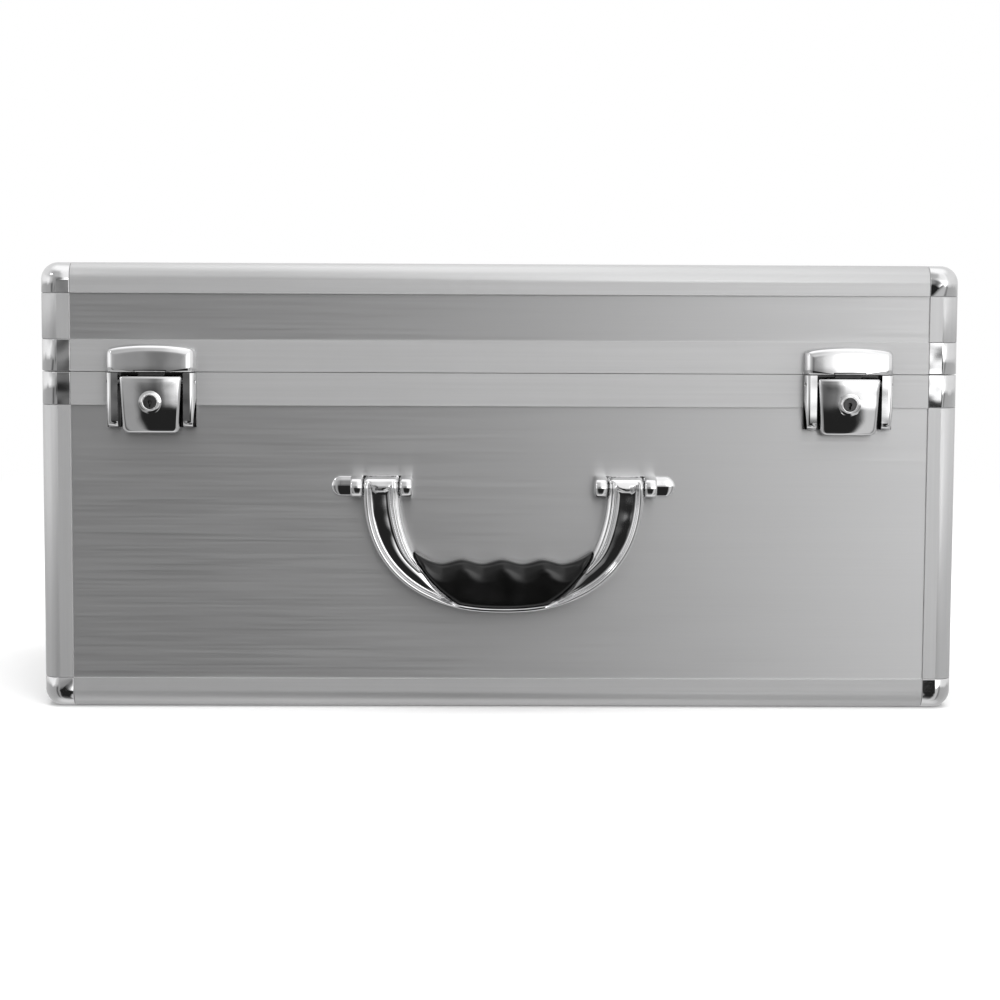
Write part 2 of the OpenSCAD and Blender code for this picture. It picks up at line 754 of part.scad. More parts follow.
// A leaf below the axis; its knuckles stand between x = from and x = to, on both sides
module leaf_plate(cut_from, cut_to) difference() {
  translate([-hinge_w / 2, -hinge_out, -leaf_h - 1]) cube([hinge_w, leaf_t, leaf_h + 1]);
  for (s = [0, 1]) mirror([s, 0, 0])
    translate([cut_from, -hinge_out - 1, -leaf_cut]) cube([cut_to - cut_from, 10, leaf_cut + 1]);
  for (dx = [-1, 1])
    translate([dx * hinge_rivet_dx, 0, -hinge_rivet_dz]) rotate([90, 0, 0])
      cylinder(r = rivet_r + press, h = 10);
}

module hinge_base_leaves() color(chrome) at_hinges() difference() {
  union() {
    leaf_plate(0, mid_knuckle / 2 + 0.3);
    for (s = [0, 1]) mirror([s, 0, 0]) {
      rod(0, 0, knuckle_r, mid_knuckle / 2 + 0.3, hinge_w / 2);
      translate([mid_knuckle / 2 + 0.3, -hinge_out, -leaf_cut])
        cube([hinge_w / 2 - mid_knuckle / 2 - 0.3, 1.8, leaf_cut - seam_gap]);
    }
  }
  rod(0, 0, hinge_pin_r + press, -hinge_w, hinge_w);
}

module hinge_lid_leaves() color(chrome) at_hinges() difference() {
  union() {
    mirror([0, 0, 1]) leaf_plate(mid_knuckle / 2, hinge_w / 2 + 1);
    rod(0, 0, knuckle_r, -mid_knuckle / 2, mid_knuckle / 2);
    translate([-mid_knuckle / 2, -hinge_out, seam_gap])
      cube([mid_knuckle, 1.8, leaf_cut]);
    // Heel that meets the base leaf when the lid is fully open
    rotate([lid_open, 0, 0]) translate([-heel_w / 2, leaf_t - hinge_out + 0.15, -heel_reach])
      cube([heel_w, heel_t, heel_reach - knuckle_r + 1]);
  }
  rod(0, 0, hinge_pin_r + play, -hinge_w, hinge_w);
}

module hinge_pins() color(chrome) at_hinges() rod(0, 0, hinge_pin_r, -hinge_w / 2, hinge_w / 2);

module hinge_base_rivets() color(chrome) on_back() for (sx = [-1, 1], dx = [-1, 1])
  rivet(sx * hinge_x + dx * hinge_rivet_dx, seam_z - hinge_rivet_dz, leaf_t, -room_d);

module hinge_lid_rivets() color(chrome) on_back() for (sx = [-1, 1], dx = [-1, 1])
  rivet(sx * hinge_x + dx * hinge_rivet_dx, seam_z + hinge_rivet_dz, leaf_t, -room_d);

// ---------------------------------------------------------------- lid

module lid_top_panel() color(alu) on_top() bottom_sheet(skin_d, board_d);

module lid_front_panel() color(alu)
  front_sheet(skin_d, board_d, lid_wall_bottom, lid_wall_top);

module lid_back_panel() color(alu) mirror([0, 1, 0]) lid_front_panel();

module lid_left_panel() color(alu)
  left_sheet(skin_d, board_d, lid_wall_bottom, lid_wall_top);

module lid_right_panel() color(alu) mirror([1, 0, 0]) lid_left_panel();

module lid_boards() color(board) {
  for (s = [0, 1]) {
    mirror([0, s, 0]) front_sheet(board_d, inner_d, lid_wall_bottom, lid_wall_top);
    mirror([s, 0, 0]) left_sheet(board_d, inner_d, lid_wall_bottom, lid_wall_top);
  }
  on_top() bottom_sheet(board_d, inner_d);
}

module lid_top_rails() color(satin) on_top() edge_rails();

module lid_corner_posts() color(satin) posts(lid_closure_z + gap, case_h - rail_leg - gap);

module lid_closure_rails() color(satin) difference() {
  closure_rails(lid_bottom) lid_closure_section();
  lid_holes();
}

module lid_top_corners() color(chrome) on_top() edge_corners();

module lid_closure_corners() color(chrome) {
  posts(lid_bottom + closure_core - eps, lid_closure_z);
  at_corners() translate([0, 0, lid_bottom]) linear_extrude(closure_core) closure_corner_plan();
}

module lid_lining() color(lining) {
  z1 = case_h - inner_d - gap;
  for (s = [0, 1]) {
    mirror([0, s, 0]) translate([lining_d - case_w / 2, lining_d - case_d / 2, lid_wall_bottom])
      cube([case_w - 2 * lining_d, lining_t, z1 - lid_wall_bottom]);
    mirror([s, 0, 0]) translate([lining_d - case_w / 2, room_d + gap - case_d / 2, lid_wall_bottom])
      cube([lining_t, case_d - 2 * (room_d + gap), z1 - lid_wall_bottom]);
  }
}

module lid_foam() color(lining)
  translate([gap - room_w / 2, gap - room_depth / 2, case_h - inner_d - gap - lid_foam_t])
    cube([room_w - 2 * gap, room_depth - 2 * gap, lid_foam_t]);

// ---------------------------------------------------------------- chip trays

function channel_y(i) = (i - (channels - 1) / 2) * channel_pitch;

// Moulded tray: rounded channels for rows of chips on edge, and two open bays beside them
module chip_tray(z) color(lining) translate([0, 0, z]) difference() {
  translate([-tray_w / 2, -tray_depth / 2, 0]) cube([tray_w, tray_depth, tray_h]);
  for (i = [0:channels - 1]) translate([channel_x0, channel_y(i), tray_h - channel_r]) {
    rod(0, 0, channel_r, 0, channel_len);
    translate([0, -channel_r, 0]) cube([channel_len, channel_w, channel_r + 1]);
  }
  // Hollows under the ribs between the channels
  for (i = [0:channels - 2])
    translate([channel_x0, (channel_y(i) + channel_y(i + 1)) / 2, 0]) rotate([90, 0, 90])
      linear_extrude(channel_len) difference() {
        translate([-channel_pitch / 2 + 5, -1]) square([channel_pitch - 10, tray_h / 2 + 1]);
        for (s = [-1, 1]) translate([s * channel_pitch / 2, tray_h - channel_r])
          circle(channel_r + tray_wall);
      }
  for (s = [0, 1]) mirror([0, s, 0])
    translate([bay_x0, tray_wall / 2, tray_wall])
      cube([bay_len, tray_depth / 2 - 1.5 * tray_wall, tray_h]);
  // Finger notches in the end walls
  rod(0, tray_h, notch_r, tray_w / 2 - tray_wall - 1, tray_w / 2 + 1);
  rod(0, tray_h, notch_r, -tray_w / 2 - 1, -tray_w / 2 + tray_wall + 1);
}

module lower_chip_tray() chip_tray(lower_tray_z);
module upper_chip_tray() chip_tray(upper_tray_z);

// ---------------------------------------------------------------- nodes

base_front_panel();
base_back_panel();
base_left_panel();
base_right_panel();
base_floor_panel();
base_boards();
base_corner_posts();
base_bottom_rails();
base_closure_rails();
base_bottom_corners();
base_closure_corners();
base_wall_lining();
floor_pad();
compartment_dividers();
back_feet();
foot_screws();
handle_brackets();
handle_bracket_rivets();
handle_pins();
hinge_base_leaves();
hinge_pins();
hinge_base_rivets();
latch_housings();
lever_pins();
latch_rivets();
lid_top_panel();
lid_front_panel();
lid_back_panel();
lid_left_panel();
lid_right_panel();
lid_boards();
lid_top_rails();
lid_corner_posts();
lid_closure_rails();
lid_top_corners();
lid_closure_corners();
lid_lining();
lid_foam();
hinge_lid_leaves();
hinge_lid_rivets();
latch_caps();
cap_screws();
strike_tongues();
strike_rivets();
handle_bow();
handle_grip();
latch_lever(-1);  // left_latch_lever
lock_barrel(-1);  // left_lock_barrel
lever_spring(-1);  // left_lever_spring
lock_plug(-1);  // left_lock_plug
latch_lever(1);  // right_latch_lever
lock_barrel(1);  // right_lock_barrel
lever_spring(1);  // right_lever_spring
lock_plug(1);  // right_lock_plug
lower_chip_tray();
upper_chip_tray();
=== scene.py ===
"""Looks for an aluminium poker chip case: materials, finer meshes, light and camera."""

import json
import math

import bmesh
import bpy
from mathutils import Matrix, Vector

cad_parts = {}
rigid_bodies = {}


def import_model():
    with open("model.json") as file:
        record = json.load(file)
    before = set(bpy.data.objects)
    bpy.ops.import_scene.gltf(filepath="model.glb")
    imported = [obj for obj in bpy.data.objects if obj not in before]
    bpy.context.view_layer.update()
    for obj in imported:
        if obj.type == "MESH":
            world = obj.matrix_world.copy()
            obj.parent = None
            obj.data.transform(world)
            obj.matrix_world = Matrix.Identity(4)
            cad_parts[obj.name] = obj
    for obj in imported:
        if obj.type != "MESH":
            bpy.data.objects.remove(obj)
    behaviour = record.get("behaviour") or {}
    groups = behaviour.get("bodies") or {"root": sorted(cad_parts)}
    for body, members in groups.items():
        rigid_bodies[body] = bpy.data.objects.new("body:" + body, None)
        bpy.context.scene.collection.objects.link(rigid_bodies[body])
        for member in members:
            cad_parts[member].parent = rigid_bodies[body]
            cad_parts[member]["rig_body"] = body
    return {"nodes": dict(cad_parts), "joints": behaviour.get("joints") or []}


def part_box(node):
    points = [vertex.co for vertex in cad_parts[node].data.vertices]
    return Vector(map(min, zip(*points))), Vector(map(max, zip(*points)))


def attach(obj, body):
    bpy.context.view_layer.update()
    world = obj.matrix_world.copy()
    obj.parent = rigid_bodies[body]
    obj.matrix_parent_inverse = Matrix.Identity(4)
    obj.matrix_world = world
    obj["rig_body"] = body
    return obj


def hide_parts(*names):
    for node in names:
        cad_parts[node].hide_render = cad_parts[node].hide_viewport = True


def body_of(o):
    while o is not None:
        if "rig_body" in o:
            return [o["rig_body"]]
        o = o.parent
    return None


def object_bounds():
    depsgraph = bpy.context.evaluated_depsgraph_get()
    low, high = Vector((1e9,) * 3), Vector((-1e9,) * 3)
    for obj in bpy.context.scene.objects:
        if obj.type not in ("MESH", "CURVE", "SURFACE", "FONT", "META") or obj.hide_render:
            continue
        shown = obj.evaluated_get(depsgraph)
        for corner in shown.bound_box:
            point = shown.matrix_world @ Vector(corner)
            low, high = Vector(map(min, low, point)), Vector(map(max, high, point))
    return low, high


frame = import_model()
cad_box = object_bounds()
MM = 0.001
NODES = frame["nodes"]
PIVOT = {j["name"]: Vector(j["pos_m"]) for j in frame["joints"] if j["type"] == "hinge"}


# ---------------------------------------------------------------- node materials


class Paint:
    """One node material. add() makes a node, sets its inputs and links any socket given as a value."""

    def __init__(self, name):
        self.material = bpy.data.materials.new(name)
        self.material.use_nodes = True
        self.tree = self.material.node_tree
        self.bsdf = self.tree.nodes["Principled BSDF"]
        self.place = self.add("TexCoord").outputs["Object"]

    def add(self, kind, inputs=None, **settings):
        made = self.tree.nodes.new("ShaderNode" + kind)
        for name, value in settings.items():
            setattr(made, name, value)
        self.fill(made, inputs or {})
        return made

    def fill(self, node, inputs):
        for name, value in inputs.items():
            if isinstance(value, bpy.types.NodeSocket):
                self.tree.links.new(value, node.inputs[name])
            else:
                node.inputs[name].default_value = value

    def noise(self, stretch, scale, detail=3.0, roughness=0.6):
        """Noise of scale features per metre, with each axis of space multiplied by stretch."""
        mapped = self.add("Mapping", {"Vector": self.place, "Scale": stretch})
        return self.add("TexNoise", {"Vector": mapped.outputs[0], "Scale": scale, "Detail": detail,
                                     "Roughness": roughness}).outputs[0]

    def spread(self, value, low, high, floor=0.3, top=0.7):
        """Maps noise from floor..top to low..high."""
        return self.add("MapRange", {"Value": value, "From Min": floor, "From Max": top,
                                     "To Min": low, "To Max": high}).outputs[0]

    def grey(self, value, tint=(1.0, 1.0, 1.0)):
        """A colour from one value."""
        parts = [self.add("Math", {0: value, 1: t}, operation="MULTIPLY").outputs[0] for t in tint]
        return self.add("CombineColor", dict(zip(("Red", "Green", "Blue"), parts))).outputs[0]

    def times(self, a, b):
        return self.add("Math", {0: a, 1: b}, operation="MULTIPLY").outputs[0]

    def bump(self, height, depth, under=None):
        """A bump whose full height is depth metres."""
        inputs = {"Height": height, "Strength": 1.0, "Distance": depth}
        if under is not None:
            inputs["Normal"] = under
        return self.add("Bump", inputs).outputs[0]

    def surface(self, **inputs):
        self.fill(self.bsdf, {name.replace("_", " "): value for name, value in inputs.items()})
        return self.material


def brushed(name, stretch, across):
    """Brushed aluminium sheet: hairlines run where stretch is small, and shine spreads along across."""
    p = Paint(name)
    hair = p.noise(stretch, 900.0, 2.0, 0.7)
    streak = p.noise([s * 0.4 for s in stretch], 300.0, 3.0)
    cloud = p.noise((1, 1, 1), 7.0, 2.0)
    tone = p.times(p.spread(hair, 0.985, 1.015), p.spread(streak, 0.994, 1.006))
    tone = p.times(tone, p.spread(cloud, 0.992, 1.008))
    turned = p.add("VectorTransform", {"Vector": across}, vector_type="VECTOR",
                   convert_from="OBJECT", convert_to="WORLD")
    rough = p.times(p.spread(hair, 0.34, 0.44), p.spread(streak, 0.99, 1.01))
    return p.surface(Base_Color=p.grey(p.times(tone, 0.65), (1, 1, 1.005)), Metallic=1.0, Roughness=rough,
                     Anisotropic=0.8, Tangent=turned.outputs[0],
                     Normal=p.bump(hair, 0.000004, p.bump(streak, 0.000002)))


def satin(name, stretch):
    """Satin anodised rail, with faint drawing lines along it."""
    p = Paint(name)
    fine = p.noise((1, 1, 1), 2500.0, 2.0)
    lines = p.noise(stretch, 500.0, 2.0)
    cloud = p.noise((1, 1, 1), 12.0, 2.0)
    tone = p.times(p.spread(lines, 0.97, 1.03), p.spread(cloud, 0.985, 1.015))
    return p.surface(Base_Color=p.grey(p.times(tone, 0.57), (1, 1, 1.005)), Metallic=0.8,
                     Roughness=p.spread(fine, 0.36, 0.46),
                     Normal=p.bump(fine, 0.000012, p.bump(lines, 0.000012)))


def plated(name, tone, rough, wave, recess_painted_shade=None):
    """Polished plating over a die casting: slow waves bend the reflections, and smudges dull them.

    The optional last argument is (dark, clear): depths along Y over which painted shade, darkening the colour
    of a sunken face towards its back, fades out, in metres."""
    p = Paint(name)
    smudge = p.noise((1, 1, 1), 90.0, 4.0)
    ripple = p.noise((1, 1, 1), 55.0, 1.0)
    speck = p.noise((1, 1, 1), 1400.0, 2.0)
    shade = p.spread(smudge, tone - 0.02, tone + 0.02)
    if recess_painted_shade:
        # Painted shade: the colour darkens to 6 percent towards the back of a sunken face, by depth along Y.
        depth = p.add("SeparateXYZ", {0: p.place}).outputs["Y"]
        shade = p.times(shade, p.spread(depth, 0.06, 1.0, *recess_painted_shade))
    return p.surface(Base_Color=p.grey(shade, (1, 1, 1.006)), Metallic=1.0,
                     Roughness=p.spread(smudge, rough, rough * 2.2),
                     Normal=p.bump(ripple, wave, p.bump(speck, 0.000002)))


def moulded(name, tone, rough, grain, depth, shine=0.5):
    """Moulded rubber or plastic with a fine skin."""
    p = Paint(name)
    skin = p.noise((1, 1, 1), grain, 3.0)
    dust = p.noise((1, 1, 1), 60.0, 4.0)
    return p.surface(Base_Color=p.grey(p.spread(dust, tone * 0.8, tone * 1.25)),
                     Roughness=p.spread(dust, rough - 0.06, rough + 0.08), Specular_IOR_Level=shine,
                     Normal=p.bump(skin, depth))


def napped(name, tone, fibre, weave):
    """Short nap or felt: fibres in the bump, a soft sheen, and patches where the nap lies another way."""
    p = Paint(name)
    fibres = p.noise((1, 1, 1), fibre, 4.0, 0.7)
    patches = p.noise((1, 1, 1), weave, 3.0)
    value = p.times(p.spread(fibres, tone * 0.5, tone * 1.7), p.spread(patches, 0.8, 1.25))
    return p.surface(Base_Color=p.grey(value), Roughness=0.95, Sheen_Weight=0.35, Sheen_Roughness=0.45,
                     Normal=p.bump(fibres, 0.0004))


def foam(name, tone):
    """Open-cell foam: round pores, with painted shade darkening the middle of each pore."""
    p = Paint(name)
    pores = p.add("TexVoronoi", {"Vector": p.place, "Scale": 1100.0}).outputs["Distance"]
    shade = p.noise((1, 1, 1), 40.0, 3.0)
    # Painted shade: pore middles darken to 0.35 of the tone, and the cell walls between them brighten to 1.4.
    value = p.times(p.spread(pores, tone * 0.35, tone * 1.4, 0.1, 0.6), p.spread(shade, 0.85, 1.15))
    return p.surface(Base_Color=p.grey(value), Roughness=1.0, Normal=p.bump(pores, 0.0004))


def fibreboard(name):
    p = Paint(name)
    chips = p.noise((1, 1, 0.4), 700.0, 4.0)
    return p.surface(Base_Color=p.grey(p.spread(chips, 0.3, 0.5), (1, 0.74, 0.5)), Roughness=0.85,
                     Normal=p.bump(chips, 0.0001))


ALONG_X = (0.012, 1.0, 1.0)
ALONG_WALL = (0.012, 0.012, 1.0)
ALONG_POST = (1.0, 1.0, 0.012)
MATERIALS = {
    "sheet": brushed("brushed_sheet", ALONG_WALL, (0, 0, 1)),
    "flat_sheet": brushed("brushed_flat_sheet", ALONG_X, (0, 1, 0)),
    "rail": satin("satin_rail", ALONG_WALL),
    "post": satin("satin_post", ALONG_POST),
    "chrome": plated("chrome_plate", 0.8, 0.025, 0.00025),
    "corner": plated("corner_plate", 0.72, 0.05, 0.0007),
    "nickel": plated("nickel_plate", 0.5, 0.1, 0.0001),
    # The housings' sunken plate gets painted shade, darker towards its back.
    "housing": plated("housing_plate_painted_shade", 0.8, 0.025, 0.00025, (-0.1214, -0.1245)),
    # Steel for the parts deep inside the latches, painted dark with the shade of the gaps they sit in.
    "inner": plated("steel_in_painted_shade", 0.16, 0.3, 0.00005),
    "plug": plated("plug_plate", 0.1, 0.2, 0.00005),
    "grip": moulded("grip_rubber", 0.003, 0.15, 900.0, 0.000006, 0.4),
    "foot": moulded("foot_rubber", 0.025, 0.6, 1200.0, 0.00006),
    "lining": napped("lining_nap", 0.022, 1500.0, 18.0),
    "tray": napped("tray_flock", 0.02, 2200.0, 25.0),
    "foam": foam("lid_foam_cells", 0.04),
    "board": fibreboard("fibreboard"),
}

# Which material each CAD node that stays in view takes, and how far its edges are eased in millimetres
FINISH = {
    "sheet": (0.15, ["base_front_panel", "base_back_panel", "base_left_panel", "base_right_panel",
                     "lid_front_panel", "lid_back_panel", "lid_left_panel", "lid_right_panel"]),
    "flat_sheet": (0.15, ["base_floor_panel", "lid_top_panel"]),
    "rail": (0.25, ["base_bottom_rails", "base_closure_rails", "lid_top_rails", "lid_closure_rails"]),
    "post": (0.25, ["base_corner_posts", "lid_corner_posts"]),
    "corner": (0.4, ["base_bottom_corners", "base_closure_corners", "lid_top_corners",
                     "lid_closure_corners"]),
    "housing": (0.35, ["latch_housings"]),
    "nickel": (0.2, ["foot_screws", "handle_bracket_rivets", "handle_pins", "hinge_base_leaves", "hinge_pins",
                     "hinge_base_rivets", "hinge_lid_leaves", "hinge_lid_rivets", "cap_screws"]),
    "inner": (0.15, ["lever_pins", "latch_rivets", "strike_tongues", "strike_rivets", "left_lever_spring",
                     "right_lever_spring"]),
    "plug": (0.12, ["left_lock_plug", "right_lock_plug"]),
    "tray": (0.6, ["lower_chip_tray", "upper_chip_tray"]),
    "board": (0.0, ["base_boards", "lid_boards"]),
}


def ease_edges(obj, width):
    """Welds the triangles, joins the flat ones and rounds the sharp edges by width metres."""
    obj.modifiers.new("weld", "WELD").merge_threshold = 1e-6
    flat = obj.modifiers.new("flat", "DECIMATE")
    flat.decimate_type = "DISSOLVE"
    flat.angle_limit = math.radians(0.4)
    round_off = obj.modifiers.new("round", "BEVEL")
    round_off.width = width
    round_off.segments = 2
    round_off.limit_method = "ANGLE"
    round_off.angle_limit = math.radians(35)
    round_off.harden_normals = True


for look, (width, names) in FINISH.items():
    for name in names:
        node = NODES[name]
        node.data.materials.clear()
        node.data.materials.append(MATERIALS[look])
        if width:
            ease_edges(node, width * MM)


# ---------------------------------------------------------------- meshes, in millimetres


def clean_mesh(name, points, faces, sharp):
    """A welded mesh with its normals outwards; edges steeper than sharp degrees stay crisp."""
    mesh = bpy.data.meshes.new(name)
    bm = bmesh.new()
    made = [bm.verts.new(Vector(p) * MM) for p in points]
    for face in faces:
        bm.faces.new([made[i] for i in face])
    bmesh.ops.remove_doubles(bm, verts=bm.verts, dist=0.004 * MM)
    bmesh.ops.dissolve_degenerate(bm, edges=bm.edges, dist=0.001 * MM)
    bmesh.ops.recalc_face_normals(bm, faces=bm.faces)
    for face in bm.faces:
        face.smooth = True
    for edge in bm.edges:
        edge.smooth = edge.calc_face_angle(0.0) < math.radians(sharp)
    bm.to_mesh(mesh)
    bm.free()
    return mesh


def new_piece(name, points, faces, look, slot, *stands_for, sharp=38.0):
    """An object on the body of the CAD nodes it stands for."""
    mesh = clean_mesh(name, points, faces, sharp)
    mesh.materials.append(MATERIALS[look])
    piece = bpy.data.objects.new(name, mesh)
    bpy.context.scene.collection.objects.link(piece)
    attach(piece, body_of(NODES[stands_for[0]])[0])
    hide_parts(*stands_for)
    return piece


def join(*shells):
    """One list of points and one of faces from several."""
    points, faces = [], []
    for some_points, some_faces in shells:
        faces += [tuple(i + len(points) for i in face) for face in some_faces]
        points += some_points
    return points, faces


def bridge(rings, closed=False):
    """Faces between neighbouring rings of equal length; closed joins the last one to the first."""
    n = len(rings[0])
    pairs = [(a, a + 1) for a in range(len(rings) - 1)]
    if closed:
        pairs.append((len(rings) - 1, 0))
    return [(a * n + i, a * n + (i + 1) % n, b * n + (i + 1) % n, b * n + i)
            for a, b in pairs for i in range(n)]


def loft(rings):
    """A closed solid through rings, with a fan over each end."""
    points, faces = [Vector(p) for ring in rings for p in ring], bridge(rings)
    n = len(rings[0])
    for start in (0, (len(rings) - 1) * n):
        points.append(sum(points[start:start + n], Vector()) / n)
        faces += [(start + i, start + (i + 1) % n, len(points) - 1) for i in range(n)]
    return points, faces


def tube(rings):
    """A ring-shaped solid through rings, the last one joined to the first."""
    return [p for ring in rings for p in ring], bridge(rings, closed=True)


def lathe(profile, place, axis, steps=40):
    """A closed (radius, height) profile turned round the line from place along axis."""
    turn = Vector((0, 0, 1)).rotation_difference(Vector(axis))
    rings = []
    for k in range(steps):
        a = 2 * math.pi * k / steps
        rings.append([Vector(place) + turn @ Vector((r * math.cos(a), r * math.sin(a), h))
                      for r, h in profile])
    return tube(rings)


def carve(piece, points, faces):
    """Cuts a closed mesh out of a piece, for good."""
    mesh = clean_mesh("cutter", points, faces, 30.0)
    cutter = bpy.data.objects.new("cutter", mesh)
    bpy.context.scene.collection.objects.link(cutter)
    cut = piece.modifiers.new("cut", "BOOLEAN")
    cut.operation, cut.solver, cut.object = "DIFFERENCE", "EXACT", cutter
    seen = piece.evaluated_get(bpy.context.evaluated_depsgraph_get())
    whole, piece.data = piece.data, bpy.data.meshes.new_from_object(seen)
    piece.modifiers.clear()
    bpy.data.objects.remove(cutter)
    bpy.data.meshes.remove(mesh)
    bpy.data.meshes.remove(whole)


def bar(place, axis, radius, length):
    """A closed round bar, fine enough to cut a bore."""
    return lathe([(0.0, 0.0), (radius, 0.0), (radius, length), (0.0, length)], place, axis, 32)


def smooth_step(x, low, high):
    t = min(1.0, max(0.0, (x - low) / (high - low)))
    return t * t * (3 - 2 * t)


def corners(name):
    """Lowest and highest corner of a CAD node in millimetres."""
    low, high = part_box(name)
    return Vector(low) / MM, Vector(high) / MM


def round_section(low, high, half, r_low, r_high, steps=6, rows=10):
    """Points (y, z) round a rectangle 2 * half thick, with its own corner radius at each end."""
    ring = []
    side = [low + r_low + (high - r_high - low - r_low) * k / rows for k in range(1, rows)]
    arcs = [(half - r_high, high - r_high, r_high, 0), (r_high - half, high - r_high, r_high, 90),
            (r_low - half, low + r_low, r_low, 180), (half - r_low, low + r_low, r_low, 270)]
    for cy, cz, r, start in arcs:
        for k in range(steps + 1):
            a = math.radians(start + 90 * k / steps)
            ring.append((cy + r * math.cos(a), cz + r * math.sin(a)))
        if start == 90:
            ring += [(-half, z) for z in reversed(side)]
    return ring + [(half, z) for z in side]


# ---------------------------------------------------------------- handle

bow_low, bow_high = corners("handle_bow")
grip_low, grip_high = corners("handle_grip")
HUB = PIVOT["handle_swing"] / MM
BOW_A, BOW_B = (bow_high.x - bow_low.x) / 2, HUB.z - bow_low.z
ARM = 20.4  # width of an arm at the pivot
INNER_A, INNER_B = BOW_A - ARM, BOW_B + 1.7
FULLNESS = 2.32  # power of the outer outline; 2 would be an ellipse
THINNEST = 2.8  # band under the grip
BOW_HALF = 6.25  # half the bow's thickness
BOSS_R = bow_high.z - HUB.z
PIN_R = 2.0
EAR_R = 6.3
EAR_W = 6.9
PANEL = corners("base_front_panel")[0].y
FINGER_PITCH = 23.4
FINGER_DROP = 42.8  # from the pivot to the middle height of the scallops
FINGER_RISE = 1.2
TIP_RISE = 7.1


def bow_drop(x):
    return BOW_B * (1 - min(1.0, abs(x) / BOW_A) ** FULLNESS) ** (1 / FULLNESS)


def inner_drop(x):
    return min(INNER_B * math.sqrt(max(0.0, 1 - (x / INNER_A) ** 2)), bow_drop(x) - THINNEST)


# The front's relief across an arm, as (distance from the edge, height over the rim): a rounded outer rim,
# a channel, then a crest and a sloping flank on the inner side
OUTER_RIM = [(0, -2.4), (0.12, -1.5), (0.5, -0.7), (1.1, -0.15), (1.8, 0), (2.4, -0.15), (2.85, -0.6),
             (3.15, -1.3), (3.35, -2.1), (3.6, -2.9), (4.1, -3.4), (4.9, -3.6)]
INNER_RIM = [(0, -3.6), (0.2, -2.9), (0.8, -2.0), (1.6, -1.35), (2.2, -1.05), (2.5, -1.15), (2.75, -1.0),
             (3.05, -0.45), (3.55, -0.05), (4.05, -0.05), (4.5, -0.5), (4.8, -1.4), (5.0, -2.4), (5.4, -3.2),
             (6.2, -3.6)]


def bow_ring(outer, inner, z):
    """One section of the bow between its outer and inner outline; z is its height over the pivot."""
    width = (outer - inner).length
    outer_scale = min(1.0, width / 8.5)
    inner_scale = min(width / 14.0, 0.32 + 0.68 * smooth_step(width, 12.5, 19.0))
    across = [(e * outer_scale, h) for e, h in OUTER_RIM]
    floor_from, floor_to = across[-1][0], width - INNER_RIM[-1][0] * inner_scale
    across += [(floor_from + (floor_to - floor_from) * k / 5, -3.6 + 0.3 * math.sin(math.pi * k / 5))
               for k in range(1, 5)]
    across += [(width - e * inner_scale, h) for e, h in reversed(INNER_RIM)]
    edge = min(1.6, 0.45 * width)
    half = BOW_HALF if z <= 0 else math.sqrt(max(0.0, BOSS_R ** 2 - z ** 2)) - (BOSS_R - BOW_HALF)

    def eased(e):
        """Drop of a plain rounded edge at e."""
        near = min(e, width - e)
        return 0.0 if near >= edge else edge - math.sqrt(max(0.0, edge ** 2 - (edge - near) ** 2))

    front, back = [], []
    for e, relief in across:
        shoulder = min(1.0, max(0.0, (abs(e - width / 2) - 3.7) / 4.0))
        depth = smooth_step(-1.0 + 5.0 * shoulder - z, 0.0, 1.6) * smooth_step(width, 2.9, 4.5)
        front.append((e, half - eased(e) * (1 - depth) + relief * depth))
        back.append((e, -half + eased(e)))
    along = (inner - outer) / width
    ring = []
    for e, y in front + back[::-1]:
        place = outer + along * e
        ring.append(Vector((HUB.x + place.x, HUB.y - y, HUB.z + place.y)))
    return ring


def build_bow():
    inner_line = [Vector((-INNER_A * math.cos(math.pi / 2 * k / 400), 0)) for k in range(401)]
    inner_line = [Vector((p.x, -inner_drop(p.x))) for p in inner_line]
    rings = []
    for lift in (88, 80, 70, 60, 50, 40, 30, 20, 10, 4):
        z = BOSS_R * math.sin(math.radians(lift))
        inset = 1.8 * (z / BOSS_R) ** 3
        rings.append(bow_ring(Vector((inset - BOW_A, z)), Vector((-INNER_A - inset, z)), z))
    steps, k = 64, 0
    for i in range(steps + 1):
        t = math.pi / 2 * (i / steps) ** 1.3
        outer = Vector((-BOW_A * math.cos(t) ** (2 / FULLNESS), -BOW_B * math.sin(t) ** (2 / FULLNESS)))
        while k < 400 and (inner_line[k + 1] - outer).length <= (inner_line[k] - outer).length:
            k += 1
        rings.append(bow_ring(outer, inner_line[k], outer.y))
    other_side = [[Vector((2 * HUB.x - p.x, p.y, p.z)) for p in ring] for ring in rings[-2::-1]]
    piece = new_piece("chrome_bow", *loft(rings + other_side), "chrome", "chrome_plate", "handle_bow",
                      sharp=60.0)
    for side in (-1, 1):
        carve(piece, *bar((HUB.x + side * (INNER_A - 2), HUB.y, HUB.z), (side, 0, 0), PIN_R + 0.05, ARM + 4))


